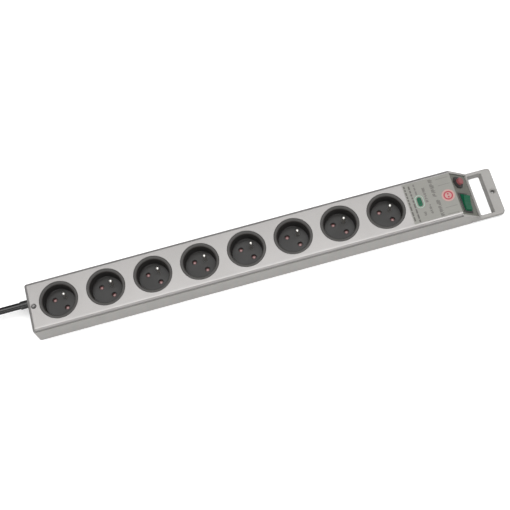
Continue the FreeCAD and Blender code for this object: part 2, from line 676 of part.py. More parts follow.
def varistors():
    discs = []
    for y in (-11.5, 0.0, 11.5):
        disc = rod_x(4.4, (263.0, 266.6), y, BOARD_Z + BOARD_THICK + 4.4)
        discs.append(disc)
    return discs


def thermal_fuse():
    return Part.makeCylinder(1.7, 11.0, Vector(258.5, -5.5, BOARD_Z + BOARD_THICK + 1.7), Vector(0, 1, 0))


def indicator_lamp():
    z = BOARD_Z + BOARD_THICK
    body = rod(2.4, (z, z + 7.6), LENS_X - 1.0, 0)
    dome = Part.makeSphere(2.4, Vector(LENS_X - 1.0, 0, z + 7.6))
    return fuse([body, dome])


def board_screws():
    screws = []
    top = BOARD_Z + BOARD_THICK
    for x in BOARD_POST_X:
        for y in both(BOARD_POST_Y):
            head = rod(2.0, (top, top + 1.5), x, y).cut(box(both(0.3, x), both(3, y), (top + 0.8, top + 3)))
            screws.append(fuse([head, rod(1.1, (BOARD_Z - 5, top + 0.4), x, y)]))
    return screws


# ---- cable and wiring ---------------------------------------------------------------------
def power_cable():
    sheath = rod_x(CABLE_R, (CABLE_END, CABLE_INNER_END), CABLE_Y, CABLE_Z)
    return sheath.cut(rod_x(CABLE_BORE_R, (CABLE_END - 1, 0), CABLE_Y, CABLE_Z))


def cable_grommet():
    sleeve = rod_x(GROMMET_R, (GROMMET_END, CAVITY_LEFT + 0.3), CABLE_Y, CABLE_Z)
    tip = [edge for edge in sleeve.Edges if abs(edge.CenterOfMass.x - GROMMET_END) < 0.01]
    sleeve = sleeve.makeFillet(0.5, tip)
    flange = rod_x(GROMMET_R + 2.0, (CAVITY_LEFT + 0.05, CAVITY_LEFT + 2.0), CABLE_Y, CABLE_Z)
    return cut(fuse([sleeve, flange]), rod_x(CABLE_R + 0.02, (-270, -230), CABLE_Y, CABLE_Z))


def core_start(turn):
    a = math.radians(turn)
    return CABLE_Y + CORE_OFFSET * math.cos(a), CABLE_Z + CORE_OFFSET * math.sin(a)


def core(turn, run):
    """One insulated conductor, from the cut end of the cable to its terminal."""
    y, z = core_start(turn)
    return wire_run([Vector(CABLE_END + 0.3, y, z), Vector(CABLE_INNER_END + 1.7, y, z)] + run, CORE_R)


def live_core():
    return core(-90, [Vector(-232.5, 13.0, 13.0), Vector(-231.5, LIVE_LANE_Y, LANE_Z + 1.6),
                      Vector(-228.0, LIVE_LANE_Y, LANE_Z), Vector(272.0, LIVE_LANE_Y, LANE_Z),
                      Vector(284.0, 19.0, 5.4), Vector(289.0, BREAKER_Y + 4.5, 8.2)])


def neutral_core():
    y = NEUTRAL_POINT.y
    return core(150, [Vector(-232.4, 8.0, 19.0), Vector(-232.2, 6.6, 8.0), Vector(-230.5, y, 4.6),
                      Vector(-228.0, y, 4.4), Vector(-PAD_END, y, 4.4)])


def earth_core():
    return core(30, [Vector(-231.8, 18.6, 18.0), Vector(-230.6, 20.0, 9.0), Vector(-226.0, 17.2, 6.9),
                     Vector(BAR_LEFT - 0.05, 17.2, 6.9)])


def cord_clamp():
    bridge = box(both(3.2, CLAMP_X), both(CLAMP_HALF, CABLE_Y), (CABLE_Z + 0.3, CABLE_Z + 7.0))
    tools = [rod_x(CABLE_R + 0.02, (-250, -230), CABLE_Y, CABLE_Z)]
    tools += [rod(1.3, (0, 40), CLAMP_X, y) for y in both(CLAMP_SCREW_Y, CABLE_Y)]
    return cut(bridge, *tools)


def cord_clamp_screws():
    screws = []
    top = CABLE_Z + 7.0
    for y in both(CLAMP_SCREW_Y, CABLE_Y):
        slot = box(both(0.3, CLAMP_X), both(3, y), (top + 0.9, top + 3))
        head = rod(1.7, (top, top + 1.6), CLAMP_X, y).cut(slot)
        screws.append(fuse([head, rod(1.2, (CABLE_Z - 10, top + 0.4), CLAMP_X, y)]))
    return screws


def housing_screws():
    screws = []
    for x in HOUSING_SCREW_X:
        for y in (-HOUSING_SCREW_Y, HOUSING_SCREW_Y):
            head = rod(2.8, (0.9, 2.9), x, y)
            cross = [box(both(0.4, x), both(1.7, y), (0, 1.9)), box(both(1.7, x), both(0.4, y), (0, 1.9))]
            screws.append(fuse([cut(head, *cross), rod(1.45, (2.6, 22.0), x, y)]))
    return screws


def link_wires():
    """Breaker to switch, and switch to the live busbar."""
    breaker_end = Vector(289.6, BREAKER_Y - 4.5, 8.4)
    switch_end = Vector(291.5, SWITCH_Y + 8.0, 10.5)
    first = wire_run([breaker_end, Vector(284.0, 8.0, 8.6), Vector(284.0, 2.0, 10.6), switch_end], CORE_R)
    second = wire_run([Vector(PAD_END, LIVE_POINT.y - 1.5, 4.4), Vector(228.0, -13.0, LANE_Z),
                       Vector(270.0, -14.0, LANE_Z), Vector(285.0, SWITCH_Y, 6.0),
                       Vector(291.3, SWITCH_Y, 10.4)], CORE_R)
    return [first, second]


def board_leads():
    """Live, neutral and earth taps from the bar ends to the surge board."""
    thin = 0.8
    taps = [(PAD_END, LIVE_POINT.y + 1.8, 4.5, -2.5), (BAR_RIGHT + 0.05, NEUTRAL_POINT.y, 4.5, 3.0),
            (BAR_RIGHT + 0.05, 17.0, 7.0, 13.5)]
    leads = []
    for start_x, start_y, start_z, board_y in taps:
        leads.append(wire_run([Vector(start_x, start_y, start_z), Vector(228.0, start_y, start_z),
                               Vector(242.5, board_y, 12.5), Vector(242.5, board_y, BOARD_Z)], thin))
    return leads


# ---- write every node ---------------------------------------------------------------------
def save(name, shapes):
    group = shapes if isinstance(shapes, list) else [shapes]
    solids = [solid for shape in group for solid in shape.Solids]
    body = solids[0] if len(solids) == 1 else Part.makeCompound(solids)
    body.exportStep("parts/" + name + ".step")


def main():
    os.makedirs("parts", exist_ok=True)
    single = [base_housing, top_cover, control_panel, rating_label, indicator_lens, earth_busbar,
              rocker_switch_body, rocker, rocker_plunger, switch_seesaw, switch_terminals, switch_lamp,
              breaker_body, reset_button, breaker_nut, reset_spring, breaker_terminals, surge_board,
              varistors, thermal_fuse, indicator_lamp, board_screws, power_cable, cable_grommet,
              live_core, neutral_core, earth_core, cord_clamp, cord_clamp_screws, housing_screws,
              link_wires, board_leads]
    for make in single:
        save(make.__name__, make())
    for number, x in enumerate(SOCKET_X, 1):
        save("socket_insert_" + str(number), socket_insert(x))
        save("shutter_" + str(number), shutter(x))
    save("shutter_springs", [shutter_spring(x) for x in SOCKET_X])
    save("contact_carriers", [contact_carrier(x) for x in SOCKET_X])
    save("carrier_screws", [screw for x in SOCKET_X for screw in carrier_screws(x)])
    save("earth_pins", [earth_pin(x) for x in SOCKET_X])
    save("live_busbar", pin_busbar(LIVE_POINT))
    save("neutral_busbar", pin_busbar(NEUTRAL_POINT))
    save("live_contacts", [pin_contact(x, LIVE_POINT) for x in SOCKET_X])
    save("neutral_contacts", [pin_contact(x, NEUTRAL_POINT) for x in SOCKET_X])


main()
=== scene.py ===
import json
import math
import random

import bmesh
import bpy
from mathutils import Matrix, Vector


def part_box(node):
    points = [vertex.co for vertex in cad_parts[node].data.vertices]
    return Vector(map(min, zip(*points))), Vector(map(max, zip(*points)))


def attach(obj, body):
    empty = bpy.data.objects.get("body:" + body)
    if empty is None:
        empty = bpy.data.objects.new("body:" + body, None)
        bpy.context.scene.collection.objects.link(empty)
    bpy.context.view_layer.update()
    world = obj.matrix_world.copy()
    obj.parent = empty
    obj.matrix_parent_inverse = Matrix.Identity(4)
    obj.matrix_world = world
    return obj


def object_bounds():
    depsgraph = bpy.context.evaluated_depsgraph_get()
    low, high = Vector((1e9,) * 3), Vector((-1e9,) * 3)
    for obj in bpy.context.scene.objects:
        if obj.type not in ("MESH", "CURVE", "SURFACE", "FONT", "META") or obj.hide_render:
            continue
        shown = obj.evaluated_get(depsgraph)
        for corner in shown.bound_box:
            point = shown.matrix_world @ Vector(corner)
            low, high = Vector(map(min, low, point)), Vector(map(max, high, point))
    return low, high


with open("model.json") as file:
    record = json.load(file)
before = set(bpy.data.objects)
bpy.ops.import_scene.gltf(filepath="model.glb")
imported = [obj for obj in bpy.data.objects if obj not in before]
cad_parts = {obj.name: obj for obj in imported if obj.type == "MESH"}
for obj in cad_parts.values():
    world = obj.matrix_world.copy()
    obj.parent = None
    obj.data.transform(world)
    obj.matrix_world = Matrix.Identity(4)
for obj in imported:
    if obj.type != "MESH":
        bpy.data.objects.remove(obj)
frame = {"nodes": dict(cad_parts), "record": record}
cad_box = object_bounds()

# Everything below is in metres, in the frame of the CAD part: X along the row of sockets,
# Y across it, Z up. MM turns a size in millimetres into metres.
MM = 0.001
PIN_SPACING = 19 * MM       # between the two plug-pin holes of a socket

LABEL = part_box("rating_label")
LENS_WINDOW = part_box("indicator_lens")
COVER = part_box("top_cover")


def dimple_centre():
    """Middle of the shallow dish at the cable end of the cover, over the left wall screw."""
    screws = next(m for m in frame["record"]["mounts"] if m["name"] == "wall_screws")
    x, y, _ = screws["pos_m"]
    return x - screws["dims"]["spacing_x_mm"] * MM / 2, y


# ---- node building ------------------------------------------------------------------------
STRIPES_PER_UNIT = 0.314    # scale of the wave texture that gives one stripe per metre


class Shader:
    """One material, with short calls that add nodes and give back the socket to use next."""

    def __init__(self, name):
        self.material = bpy.data.materials.new(name)
        self.material.use_nodes = True
        self.tree = self.material.node_tree
        self.tree.nodes.clear()
        self.out = self.tree.nodes.new("ShaderNodeOutputMaterial")
        self.bsdf = self.tree.nodes.new("ShaderNodeBsdfPrincipled")
        self.tree.links.new(self.bsdf.outputs[0], self.out.inputs["Surface"])
        self.place = self.tree.nodes.new("ShaderNodeTexCoord").outputs["Object"]

    def put(self, socket, value):
        """Links a node's output to an input, or sets the input to a plain value."""
        if isinstance(value, bpy.types.NodeSocket):
            self.tree.links.new(value, socket)
        elif value is not None:
            if isinstance(value, tuple) and len(value) == 3 and len(socket.default_value) == 4:
                value = (*value, 1.0)
            socket.default_value = value

    def set(self, **inputs):
        """Sets inputs of the main shader by name, with _ for each space."""
        for name, value in inputs.items():
            self.put(self.bsdf.inputs[name.replace("_", " ")], value)

    def stretched(self, stretch):
        """Object coordinates scaled apart along X, Y and Z."""
        node = self.tree.nodes.new("ShaderNodeMapping")
        self.put(node.inputs["Vector"], self.place)
        node.inputs["Scale"].default_value = stretch
        return node.outputs[0]

    def noise(self, size, detail=2.0, stretch=None, roughness=0.5):
        """Cloudy noise whose features are about size metres across."""
        node = self.tree.nodes.new("ShaderNodeTexNoise")
        self.put(node.inputs["Vector"], self.stretched(stretch) if stretch else self.place)
        node.inputs["Scale"].default_value = 1.0 / size
        node.inputs["Detail"].default_value = detail
        node.inputs["Roughness"].default_value = roughness
        return node.outputs["Fac"]

    def cells(self, size, feature="F1", output="Distance", stretch=None):
        """Irregular cells about size metres across."""
        node = self.tree.nodes.new("ShaderNodeTexVoronoi")
        node.feature = feature
        self.put(node.inputs["Vector"], self.stretched(stretch) if stretch else self.place)
        node.inputs["Scale"].default_value = 1.0 / size
        return node.outputs[output]

    def bands(self, size, axis):
        """Soft stripes across an axis, size metres apart."""
        node = self.tree.nodes.new("ShaderNodeTexWave")
        node.bands_direction = axis
        self.put(node.inputs["Vector"], self.place)
        node.inputs["Scale"].default_value = STRIPES_PER_UNIT / size
        return node.outputs["Fac"]

    def ramp(self, fac, low, high, start=0.0, end=1.0):
        """start..end of fac becomes low..high, held beyond both ends."""
        node = self.tree.nodes.new("ShaderNodeMapRange")
        node.interpolation_type = "SMOOTHSTEP"
        self.put(node.inputs["Value"], fac)
        node.inputs["From Min"].default_value = start
        node.inputs["From Max"].default_value = end
        node.inputs["To Min"].default_value = low
        node.inputs["To Max"].default_value = high
        return node.outputs[0]

    def mix(self, fac, first, second):
        """First where fac is 0, second where it is 1."""
        node = self.tree.nodes.new("ShaderNodeMix")
        node.data_type = "RGBA"
        self.put(node.inputs[0], fac)
        self.put(node.inputs[6], first)
        self.put(node.inputs[7], second)
        return node.outputs[2]

    def maths(self, operation, first, second=0.0):
        """One arithmetic step on two values."""
        node = self.tree.nodes.new("ShaderNodeMath")
        node.operation = operation
        self.put(node.inputs[0], first)
        self.put(node.inputs[1], second)
        return node.outputs[0]

    def axis(self, name):
        """Place along X, Y or Z, in metres."""
        node = self.tree.nodes.new("ShaderNodeSeparateXYZ")
        self.put(node.inputs[0], self.place)
        return node.outputs[name]

    def edges(self, radius):
        """1 on convex and concave edges, 0 on flat faces."""
        bevel = self.tree.nodes.new("ShaderNodeBevel")
        bevel.samples = 4
        bevel.inputs["Radius"].default_value = radius
        flat = self.tree.nodes.new("ShaderNodeNewGeometry").outputs["Normal"]
        dot = self.tree.nodes.new("ShaderNodeVectorMath")
        dot.operation = "DOT_PRODUCT"
        self.put(dot.inputs[0], bevel.outputs[0])
        self.put(dot.inputs[1], flat)
        return self.ramp(dot.outputs["Value"], 1.0, 0.0, 0.80, 0.995)

    def hollows(self, distance):
        """0 deep in a corner or a recess, 1 in the open."""
        node = self.tree.nodes.new("ShaderNodeAmbientOcclusion")
        node.samples = 4
        node.inputs["Distance"].default_value = distance
        return node.outputs["AO"]

    def bump(self, height, distance):
        """Normal of a surface raised by height (0 to 1) times distance."""
        node = self.tree.nodes.new("ShaderNodeBump")
        node.inputs["Strength"].default_value = 1.0
        node.inputs["Distance"].default_value = distance
        self.put(node.inputs["Height"], height)
        return node.outputs[0]

    def scratches(self, length, width, amount):
        """Fine streaks in two directions, 0 to 1; amount is the share that shows."""
        one = self.noise(1.0, 1.0, (1 / length, 1 / width, 1 / width))
        two = self.noise(1.0, 1.0, (1 / width, 1 / length, 1 / width))
        both = self.maths("MAXIMUM", one, two)
        return self.ramp(both, 0.0, 1.0, 0.80 - amount, 0.84 - amount * 0.5)


def shade(colour, factor):
    """A colour made lighter or darker."""
    return tuple(min(1.0, c * factor) for c in colour)


def pin_distance(s):
    """Distance across the plan from the nearest plug-pin hole of any socket."""
    first = sum(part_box("shutter_1"), Vector()).x / 2
    pitch = sum(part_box("shutter_2"), Vector()).x / 2 - first
    shifted = s.maths("ADD", s.axis("X"), pitch / 2 - first)
    across = s.maths("SUBTRACT", s.maths("FLOORED_MODULO", shifted, pitch), pitch / 2)
    along = s.maths("MULTIPLY", s.maths("SUBTRACT", across, s.axis("Y")), math.sqrt(0.5))
    side = s.maths("MULTIPLY", s.maths("ADD", across, s.axis("Y")), math.sqrt(0.5))
    reach = s.maths("SUBTRACT", s.maths("ABSOLUTE", along, 0.0), PIN_SPACING / 2)
    square = s.maths("ADD", s.maths("MULTIPLY", reach, reach), s.maths("MULTIPLY", side, side))
    return s.maths("SQRT", square, 0.0)


# ---- finishes -----------------------------------------------------------------------------
# Dark colour of the painted shade in gaps and recesses.
GAP_SHADE_COLOUR = (0.035, 0.034, 0.030)
DUST = (0.42, 0.40, 0.37)


def plastic(name, colour, rough=0.45, grain=0.35, depth=0.012, blotch=0.08, wear=0.3,
            worn=None, specular=0.5, dust=0.0, gap_shade=0.0, rise=None, painted_glints=None, darker_along_x=None):
    """Moulded plastic: spark-eroded grain, slow colour drift, rubbed edges and hair scratches.

    rise lightens it between two heights as a painted highlight on its top, spots paints pale glints
    round the pin holes, handled darkens it between two places along X, and grime darkens its gaps
    and recesses with painted shade.
    """
    s = Shader(name)
    cloud = s.noise(18 * MM, 4.0)
    speck = s.noise(grain * MM, 2.0)
    base = s.mix(s.ramp(cloud, 0, 1, 0.3, 0.7), shade(colour, 1 - blotch), shade(colour, 1 + blotch))
    base = s.mix(s.ramp(speck, 0.0, 0.5, 0.55, 0.75), base, shade(colour, 1 + blotch * 2))
    lines = s.scratches(25 * MM, 0.25 * MM, 0.06)
    rub = s.maths("MULTIPLY", s.edges(0.35 * MM), s.ramp(s.noise(4 * MM, 3.0), 0.2, 1.0, 0.35, 0.65))
    rub = s.maths("MULTIPLY", rub, wear)
    base = s.mix(rub, base, worn or shade(colour, 1.5))
    if dust:
        settle = s.maths("MULTIPLY", s.ramp(s.hollows(3 * MM), 1.0, 0.0, 0.2, 0.9), dust)
        settle = s.maths("MULTIPLY", settle, s.ramp(s.noise(1.2 * MM, 3.0), 0.3, 1.0, 0.35, 0.7))
        base = s.mix(settle, base, DUST)
    # Painted glint: a pale pink spot round each pin hole, where light catches the shutter.
    if painted_glints:
        rubbed, inner, outer = painted_glints
        base = s.mix(s.ramp(pin_distance(s), 1.0, 0.0, inner, outer), base, rubbed)
    # Painted highlight: lighter towards the top, where the socket rims catch the light.
    if rise:
        low, high, rim_highlight = rise
        base = s.mix(s.ramp(s.axis("Z"), 0.0, 1.0, low, high), base, shade(colour, rim_highlight))
    # Darker between two places along X, towards the handle end.
    if darker_along_x:
        start, end, deepen = darker_along_x
        along_x_mask = s.ramp(s.axis("X"), 0.0, 1.0, start, end)
        along_x_mask = s.maths("MULTIPLY", along_x_mask, s.ramp(cloud, 0.85, 1.0, 0.3, 0.7))
        base = s.mix(along_x_mask, base, shade(colour, deepen))
    # Painted shade: darker in gaps and recesses, found by ambient occlusion.
    if gap_shade:
        gap = s.maths("MULTIPLY", s.ramp(s.hollows(2.2 * MM), 1.0, 0.0, 0.25, 0.8), gap_shade)
        base = s.mix(gap, base, GAP_SHADE_COLOUR)
    gloss = s.ramp(cloud, rough - 0.06, rough + 0.06, 0.3, 0.7)
    gloss = s.maths("ADD", gloss, s.maths("MULTIPLY", lines, 0.12))
    grainy = s.maths("ADD", speck, s.maths("MULTIPLY", lines, -0.5))
    s.set(Base_Color=base, Roughness=gloss, Specular_IOR_Level=specular,
          Normal=s.bump(grainy, depth * MM))
    return s.material


def silver_paint(name, colour, dish, rough=0.3):
    """Silver lacquer over plastic: bright flakes, soft orange peel, smudges, rubbed edges and
    painted shade in its hollows.

    dish is the centre and the radius of the screw dish, which is darkened with painted shade.
    """
    s = Shader(name)
    flake = s.cells(0.22 * MM, output="Color")
    glitter = s.ramp(flake, 0.0, 1.0, 0.55, 1.0)
    cloud = s.noise(45 * MM, 3.0)
    base = s.mix(s.ramp(cloud, 0, 1, 0.3, 0.7), shade(colour, 0.965), shade(colour, 1.03))
    base = s.mix(s.maths("MULTIPLY", glitter, 0.35), base, shade(colour, 1.35))
    rub = s.maths("MULTIPLY", s.edges(0.3 * MM), s.ramp(s.noise(5 * MM, 3.0), 0.0, 0.35, 0.4, 0.7))
    base = s.mix(rub, base, shade(colour, 0.55))
    # Painted shade: darker in hollows, along the seam and in the screw dish.
    gap_shade = s.maths("MULTIPLY", s.ramp(s.hollows(4 * MM), 1.0, 0.0, 0.35, 0.85), 0.75)
    base = s.mix(gap_shade, base, shade(colour, 0.25))
    # Painted shade inside the screw dish.
    (x, y), radius = dish
    east = s.maths("SUBTRACT", s.axis("X"), x)
    north = s.maths("SUBTRACT", s.axis("Y"), y)
    square = s.maths("ADD", s.maths("MULTIPLY", east, east), s.maths("MULTIPLY", north, north))
    dish_shade = s.ramp(square, 1.0, 0.0, (0.8 * radius) ** 2, radius ** 2)
    base = s.mix(dish_shade, base, shade(colour, 0.4))
    smudge = s.ramp(s.noise(22 * MM, 5.0, roughness=0.6), rough - 0.02, rough + 0.05, 0.35, 0.7)
    lines = s.scratches(30 * MM, 0.22 * MM, 0.05)
    peel = s.noise(1.4 * MM, 1.0)
    s.set(Base_Color=base, Metallic=0.65, Coat_Weight=0.25, Coat_Roughness=0.3,
          Roughness=s.maths("ADD", smudge, s.maths("MULTIPLY", lines, 0.1)),
          Normal=s.bump(peel, 0.003 * MM))
    return s.material


def film(name, colour, rough=0.42):
    """Printed polyester film: faint brushed streaks along the row and a satin face."""
    s = Shader(name)
    streak = s.noise(1.0, 3.0, (1 / (30 * MM), 1 / (0.25 * MM), 1 / (5 * MM)))
    cloud = s.noise(25 * MM, 3.0)
    base = s.mix(s.ramp(streak, 0, 1, 0.3, 0.7), shade(colour, 0.95), shade(colour, 1.05))
    base = s.mix(s.ramp(cloud, 0.0, 0.5, 0.4, 0.7), base, shade(colour, 0.93))
    s.set(Base_Color=base, Roughness=s.ramp(streak, rough - 0.04, rough + 0.06, 0.3, 0.7),
          Metallic=0.2, Normal=s.bump(streak, 0.004 * MM))
    return s.material


def metal(name, colour, rough=0.28, tarnish=0.25, dull=None):
    """Stamped or turned metal: brushing, tarnish clouds and bright rubbed edges."""
    s = Shader(name)
    cloud = s.noise(3.5 * MM, 5.0, roughness=0.65)
    fine = s.noise(1.0, 2.0, (1 / (3 * MM), 1 / (0.08 * MM), 1 / (0.08 * MM)))
    base = s.mix(s.ramp(cloud, 0.0, tarnish * 2, 0.4, 0.75), colour, dull or shade(colour, 0.55))
    base = s.mix(s.maths("MULTIPLY", s.edges(0.2 * MM), 0.5), base, shade(colour, 1.25))
    gloss = s.maths("ADD", s.ramp(cloud, rough, rough + 0.22, 0.35, 0.8),
                    s.ramp(fine, -0.05, 0.07, 0.3, 0.7))
    s.set(Base_Color=base, Metallic=1.0, Roughness=gloss, Normal=s.bump(fine, 0.004 * MM))
    return s.material


def tinted_clear(name, colour, rough=0.16, through=0.45, glow=0.0, ribs=None, shine=0.5):
    """Tinted see-through plastic: soft flow marks, a ribbed back face and paler, rubbed edges."""
    s = Shader(name)
    flow = s.noise(9 * MM, 2.0)
    skin = s.noise(0.8 * MM, 2.0)
    base = s.mix(s.ramp(flow, 0, 1, 0.3, 0.7), shade(colour, 0.88), shade(colour, 1.12))
    if ribs:
        base = s.mix(s.ramp(s.bands(ribs * MM, "Y"), 0.0, 0.5, 0.2, 0.95), base, shade(colour, 1.6))
    rub = s.maths("MULTIPLY", s.edges(0.5 * MM), s.ramp(skin, 0.35, 0.75, 0.4, 0.6))
    base = s.mix(rub, base, tuple(0.5 * c + 0.12 for c in shade(colour, 2.5)))
    s.set(Base_Color=base, Roughness=s.ramp(flow, rough, rough + 0.08, 0.3, 0.7),
          Transmission_Weight=through, IOR=1.49, Specular_IOR_Level=shine,
          Coat_Weight=shine * 0.6, Coat_Roughness=0.15, Normal=s.bump(skin, 0.004 * MM),
          Subsurface_Weight=0.2, Subsurface_Radius=(0.001, 0.002, 0.0015), Subsurface_Scale=0.5)
    if glow:
        s.set(Emission_Color=base, Emission_Strength=glow)
    return s.material


def rubber(name, colour, rough=0.42, streaks=0.02, specular=0.45):
    """Soft PVC: drawn streaks along the run, scuffs and a dusty bloom."""
    s = Shader(name)
    streak = s.noise(1.0, 3.0, (1 / (14 * MM), 1 / (0.5 * MM), 1 / (0.5 * MM)))
    bloom = s.noise(5 * MM, 4.0, roughness=0.65)
    base = s.mix(s.ramp(bloom, 0.0, 0.5, 0.45, 0.75), colour, shade(colour, 2.0))
    base = s.mix(s.maths("MULTIPLY", s.edges(0.3 * MM), 0.4), base, shade(colour, 2.4))
    s.set(Base_Color=base, Roughness=s.ramp(streak, rough * 0.8, rough * 1.2, 0.3, 0.7),
          Specular_IOR_Level=specular, Normal=s.bump(streak, streaks * MM))
    return s.material


def board(name):
    """Green solder resist with the copper tracks showing through as paler bands."""
    s = Shader(name)
    tracks = s.cells(3.2 * MM, feature="DISTANCE_TO_EDGE", stretch=(1.0, 0.6, 0.05))
    weave = s.bands(0.6 * MM, "Y")
    base = s.mix(s.ramp(tracks, 1.0, 0.0, 0.05, 0.09), (0.012, 0.09, 0.035), (0.03, 0.20, 0.07))
    base = s.mix(s.ramp(weave, 0.0, 0.12), base, (0.05, 0.24, 0.09))
    s.set(Base_Color=base, Roughness=s.ramp(s.noise(2 * MM), 0.25, 0.4), Coat_Weight=0.3,
          Normal=s.bump(s.ramp(tracks, 1.0, 0.0, 0.05, 0.09), 0.03 * MM))
    return s.material


def ink(name, colour, rough=0.5):
    """Screen-printed ink: slightly broken cover and a soft edge to its gloss."""
    s = Shader(name)
    cover = s.noise(0.35 * MM, 3.0)
    drift = s.noise(6 * MM, 2.0)
    base = s.mix(s.ramp(cover, 0.0, 0.4, 0.5, 0.8), colour, shade(colour, 1.6))
    base = s.mix(s.ramp(drift, 0.0, 0.3, 0.4, 0.7), base, shade(colour, 0.8))
    s.set(Base_Color=base, Roughness=s.ramp(cover, rough - 0.05, rough + 0.1),
          Normal=s.bump(cover, 0.006 * MM))
    return s.material


FINISH = {
    # grime paints shade into the seam and the other gaps; handled makes it darker towards the handle
    # end.
    "base_grey": plastic("base_grey", (0.355, 0.344, 0.329), 0.5, blotch=0.05, wear=0.25,
                         gap_shade=1.0, darker_along_x=(COVER[1].x + 5 * MM, COVER[1].x + 25 * MM, 0.78)),
    "cover_silver": silver_paint("cover_silver", (0.262, 0.253, 0.247), (dimple_centre(), 3.4 * MM)),
    # Housing grey made darker: painted shade on the sloped panel; grime paints shade into its gaps.
    "panel_grey": plastic("panel_grey", (0.146, 0.146, 0.127), 0.5, blotch=0.07, gap_shade=0.6),
    "label_film": film("label_film", (0.212, 0.209, 0.190)),
    # rise paints a highlight on the top of the socket rims.
    "socket_black": plastic("socket_black", (0.014, 0.013, 0.012), 0.42, grain=0.45, specular=0.42,
                            worn=(0.10, 0.095, 0.09), blotch=0.12, dust=0.05,
                            rise=(COVER[1].z - 3 * MM, COVER[1].z - 0.5 * MM, 2.6)),
    # spots paints a pale glint into each pin hole.
    "shutter_red": plastic("shutter_red", (0.085, 0.02, 0.019), 0.25, worn=(0.5, 0.2, 0.18),
                           painted_glints=((0.34, 0.175, 0.172), 0.5 * MM, 1.8 * MM)),
    "earth_metal": metal("earth_metal", (0.76, 0.74, 0.70), 0.2, 0.15),
    "brass": metal("brass", (0.80, 0.58, 0.27), 0.26, 0.3, (0.36, 0.22, 0.10)),
    "carrier_white": plastic("carrier_white", (0.72, 0.70, 0.65), 0.5, blotch=0.05),
    "steel": metal("steel", (0.62, 0.62, 0.60), 0.3, 0.2, (0.30, 0.29, 0.27)),
    "switch_black": plastic("switch_black", (0.028, 0.028, 0.027), 0.4, worn=(0.09, 0.09, 0.09)),
    "rocker_green": tinted_clear("rocker_green", (0.003, 0.08, 0.038), 0.3, through=0.15,
                                 glow=0.13, ribs=2.2, shine=0.22),
    "button_red": plastic("button_red", (0.235, 0.065, 0.07), 0.34, grain=0.6, depth=0.006,
                          worn=(0.62, 0.25, 0.26), wear=0.5),
    "lens_green": tinted_clear("lens_green", (0.002, 0.09, 0.042), 0.4, glow=0.28, ribs=1.1,
                               shine=0.05),
    "lamp_glass": tinted_clear("lamp_glass", (0.75, 0.72, 0.66), 0.05, 0.9),
    "board_green": board("board_green"),
    "varistor_blue": plastic("varistor_blue", (0.035, 0.12, 0.36), 0.25, grain=1.2, depth=0.05),
    "fuse_white": plastic("fuse_white", (0.70, 0.69, 0.66), 0.35),
    "cable_black": rubber("cable_black", (0.004, 0.004, 0.004), 0.12, 0.004, 0.45),
    "grommet_black": rubber("grommet_black", (0.012, 0.012, 0.012), 0.3),
    "core_brown": rubber("core_brown", (0.12, 0.045, 0.02)),
    "core_blue": rubber("core_blue", (0.02, 0.10, 0.38)),
    "core_earth": rubber("core_earth", (0.42, 0.40, 0.03)),
}


def dress(slots):
    """Gives every CAD node the finish of its material slot in the record."""
    for name, node in frame["nodes"].items():
        node.data.materials.clear()
        node.data.materials.append(FINISH[slots[name]])


def slot_of_nodes():
    """Material slot of each CAD node, as the record gives it."""
    return {part["node"]: part["material_slot"] for part in frame["record"]["subparts"]}


# ---- camera and studio --------------------------------------------------------------------
VIEW_TURN = -4.73        # degrees, to the left of straight on
VIEW_RISE = 67.48        # degrees above the floor
VIEW_ROLL = -10.78       # the row climbs to the right
VIEW_DISTANCE = 1.4235   # from the middle of the cover
VIEW_SHIFT = 0.0395      # how far the row's middle sits from the centre of the view
LENS = 81.18
SENSOR = 36.0            # both in millimetres

# each light: where it stands, what it points at, its width and height, and its power
OVERHEAD = ((0.2, 0.08, 3.0), (0.2, 0.08, 0), (3.2, 2.4), 79)
FRONT_FILL = ((0.1, -2.4, 1.1), (0, 0, 0), (2.6, 0.8), 17)

SKY_LEAN = -0.6          # tilts the sky's light side towards the front
SKY_FROM = (-0.25, 0.75)
SKY_TO = (0.2, 0.85)     # strength at the grey and at the light end

FLOOR_HALF = 6.0
FLOOR_GAP = 0.02 * MM
PAPER = ((0.93, 0.93, 0.93), (0.95, 0.95, 0.95))
PAPER_BOUNCE = (0.58, 0.58, 0.58)
PAPER_GLOW = 0.2


def make_camera():
    """Looks down at the row from the front, rolled so that the row climbs to the right."""
    turn, rise, roll = (math.radians(a) for a in (VIEW_TURN, VIEW_RISE, VIEW_ROLL))
    level = math.cos(rise)
    back = Vector((math.sin(turn) * level, -math.cos(turn) * level, math.sin(rise)))
    right = (-back).cross(Vector((0, 0, 1))).normalized()
    up = right.cross(-back)
    tilted_right = math.cos(roll) * right + math.sin(roll) * up
    tilted_up = -math.sin(roll) * right + math.cos(roll) * up
    data = bpy.data.cameras.new("camera")
    data.lens = LENS
    data.sensor_width = SENSOR
    data.clip_start = 0.05
    data.clip_end = 50.0
    camera = bpy.data.objects.new("camera", data)
    bpy.context.scene.collection.objects.link(camera)
    target = Vector((0, 0, COVER[1].z))
    place = target + tilted_right * VIEW_SHIFT + back * VIEW_DISTANCE
    camera.matrix_world = Matrix((
        (tilted_right.x, tilted_up.x, back.x, place.x),
        (tilted_right.y, tilted_up.y, back.y, place.y),
        (tilted_right.z, tilted_up.z, back.z, place.z),
        (0, 0, 0, 1)))
    bpy.context.scene.camera = camera


def area_light(name, place, aim, size, power):
    data = bpy.data.lights.new(name, "AREA")
    data.shape = "RECTANGLE"
    data.size, data.size_y = size
    data.energy = power
    light = bpy.data.objects.new(name, data)
    bpy.context.scene.collection.objects.link(light)
    light.location = place
    light.rotation_euler = (Vector(aim) - Vector(place)).to_track_quat("-Z", "Y").to_euler()


